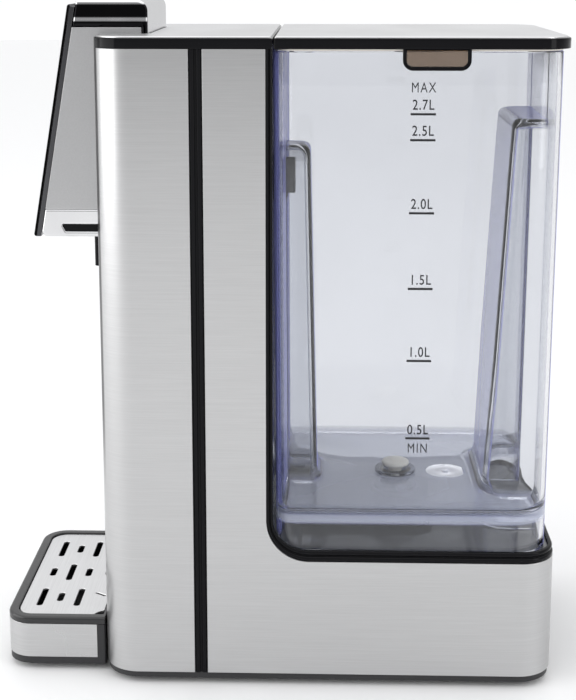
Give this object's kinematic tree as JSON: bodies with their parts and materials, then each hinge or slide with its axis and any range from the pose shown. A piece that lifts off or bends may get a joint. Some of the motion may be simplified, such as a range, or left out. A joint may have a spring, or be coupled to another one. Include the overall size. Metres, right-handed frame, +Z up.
{
  "type": "countertop water dispenser",
  "caption": "Upright steel-clad hot water dispenser: clear lift-off tank behind, head with spout in front, slide-out drip tray with slotted grille.",
  "frame": {"origin": "centre of the bounding box's underside, on the surface the feet stand on", "axes": "+Z up; -Y is the front with the spout and drip tray; +Y is the tank's side; +X is the side that carries the level scale"},
  "size_m": [0.138, 0.2636, 0.3208],
  "materials": {
    "brushed_steel": "horizontal brushed grain",
    "silver_plate": "fine satin",
    "gloss_black": "piano gloss",
    "black_plastic": "fine matt texture",
    "cradle_black": "semi gloss",
    "rubber_black": "matt",
    "chrome": "polished",
    "head_silver": "satin silver",
    "panel_glass": "glass smooth",
    "tank_clear": "clear, faint violet tint",
    "smoke_clear": "smoky brown, translucent",
    "print_black": "printed ink",
    "white_plastic": "smooth",
    "grey_plastic": "smooth",
    "silicone": "milky silicone",
    "silicone_red": "silicone seal",
    "cast_alloy": "as cast",
    "plated_steel": "zinc plated",
    "beige_insulator": "matt",
    "circuit_green": "solder mask",
    "component_dark": "moulded",
    "meter_blue": "moulded"
  },
  "bodies": {
    "housing": {"base_pan": "black_plastic", "feet": "rubber_black", "front_wrap": "brushed_steel", "side_panel_right": "brushed_steel", "side_panel_left": "brushed_steel", "accent_strip_right": "gloss_black", "accent_strip_left": "gloss_black", "cradle_trim": "gloss_black", "tank_cradle": "cradle_black", "tank_hook": "black_plastic", "rear_cover": "black_plastic", "cord_gland": "rubber_black", "deck_band": "gloss_black", "deck_plate": "silver_plate", "inner_frame": "white_plastic", "inlet_coupling": "grey_plastic", "coupling_seal": "silicone_red", "suction_hose": "silicone", "pump": "component_dark", "pump_mounts": "rubber_black", "pump_hose": "silicone", "flow_meter": "meter_blue", "riser_hose": "silicone", "heater": "cast_alloy", "heater_bracket": "plated_steel", "thermostats": "beige_insulator", "outlet_hose": "silicone", "hose_clamps": "plated_steel", "power_board": "circuit_green", "power_parts": "component_dark", "level_sensor_board": "circuit_green", "case_screws": "plated_steel", "head_core": "black_plastic", "head_side_right": "head_silver", "head_side_left": "head_silver", "head_top_trim": "chrome", "head_lower_band": "chrome", "slot_inserts": "gloss_black", "touch_frame": "head_silver", "touch_glass": "panel_glass", "display_board": "circuit_green", "spout": "black_plastic"},
    "tank": {"tank_shell": "tank_clear", "level_marks": "print_black", "valve_bushing": "tank_clear", "valve_collar": "grey_plastic"},
    "valve": {"valve_plunger": "white_plastic", "valve_spring": "plated_steel"},
    "lid": {"lid_frame": "gloss_black", "lid_plate": "silver_plate", "lid_window_right": "smoke_clear", "lid_window_left": "smoke_clear", "lid_hooks": "black_plastic", "lid_seal": "silicone"},
    "tray": {"tray_base": "black_plastic", "tray_band": "brushed_steel", "tray_rim": "black_plastic", "tray_feet": "rubber_black"},
    "grille": {"grille": "brushed_steel"}
  },
  "joints": [
    {"name": "tank_lift", "type": "slide", "parent": "housing", "child": "tank", "axis": [0, 0, 1], "range_m": [0, 0.06]},
    {"name": "valve_open", "type": "slide", "parent": "tank", "child": "valve", "axis": [0, 0, 1], "range_m": [0, 0.002], "stiffness_N_per_m": 100, "springref_m": -0.004, "deforming": ["valve_spring"]},
    {"name": "lid_lift", "type": "slide", "parent": "tank", "child": "lid", "axis": [0, 0, 1], "range_m": [0, 0.045]},
    {"name": "tray_slide", "type": "slide", "parent": "housing", "child": "tray", "axis": [0, -1, 0], "range_m": [0, 0.06]},
    {"name": "grille_lift", "type": "slide", "parent": "tray", "child": "grille", "axis": [0, 0, 1], "range_m": [0, 0.025]}
  ]
}
